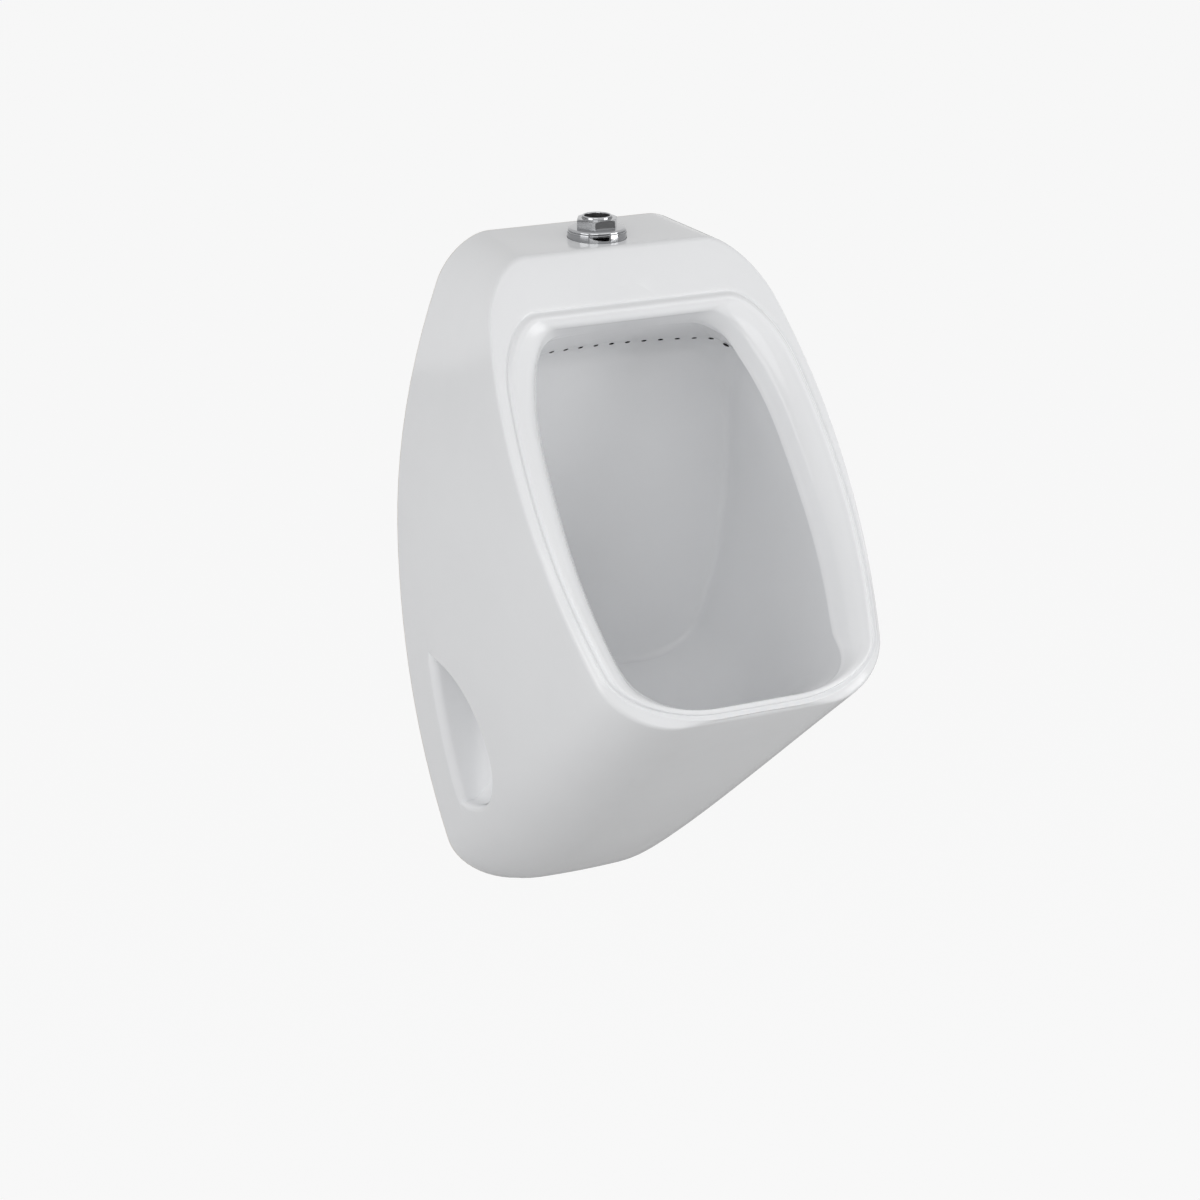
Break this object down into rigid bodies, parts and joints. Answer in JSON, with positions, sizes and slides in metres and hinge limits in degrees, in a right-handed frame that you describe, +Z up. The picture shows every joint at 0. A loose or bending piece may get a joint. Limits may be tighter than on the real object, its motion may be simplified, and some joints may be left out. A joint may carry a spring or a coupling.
{
  "type": "urinal",
  "caption": "Wall-hung washdown urinal in white vitreous china: leaning rimmed mouth, side hand pockets, top inlet spud, flush holes, drain strainer, trap, outlet flange and wall hangers.",
  "frame": {"origin": "on the wall plane, on the centre line, at the china's lowest edge", "axes": "+X to the right as seen from the front, +Y into the wall, +Z up; the bowl faces -Y"},
  "size_m": [0.3458, 0.3704, 0.6505],
  "materials": {
    "vitreous_china": "white gloss glaze",
    "chrome_plate": "polished",
    "stainless_steel": "satin",
    "brass": "turned",
    "black_rubber": "moulded",
    "cast_iron": "as cast, coated",
    "zinc_steel": "zinc plated"
  },
  "bodies": {
    "fixture": {"china_body": "vitreous_china", "spud_body": "chrome_plate", "spud_gasket": "black_rubber", "spud_washer": "brass", "spud_base_ring": "chrome_plate", "spud_top_ring": "chrome_plate", "spud_nut": "chrome_plate", "strainer_seal": "black_rubber", "outlet_flange": "cast_iron", "outlet_gasket": "black_rubber", "outlet_studs": "zinc_steel", "outlet_washers": "zinc_steel", "outlet_nuts": "zinc_steel", "hanger_left": "zinc_steel", "hanger_right": "zinc_steel"},
    "strainer_piece": {"strainer": "stainless_steel"}
  },
  "joints": [
    {"name": "strainer_lift", "type": "slide", "parent": "fixture", "child": "strainer_piece", "axis": [0, 0, 1], "range_m": [0, 0.1]}
  ]
}
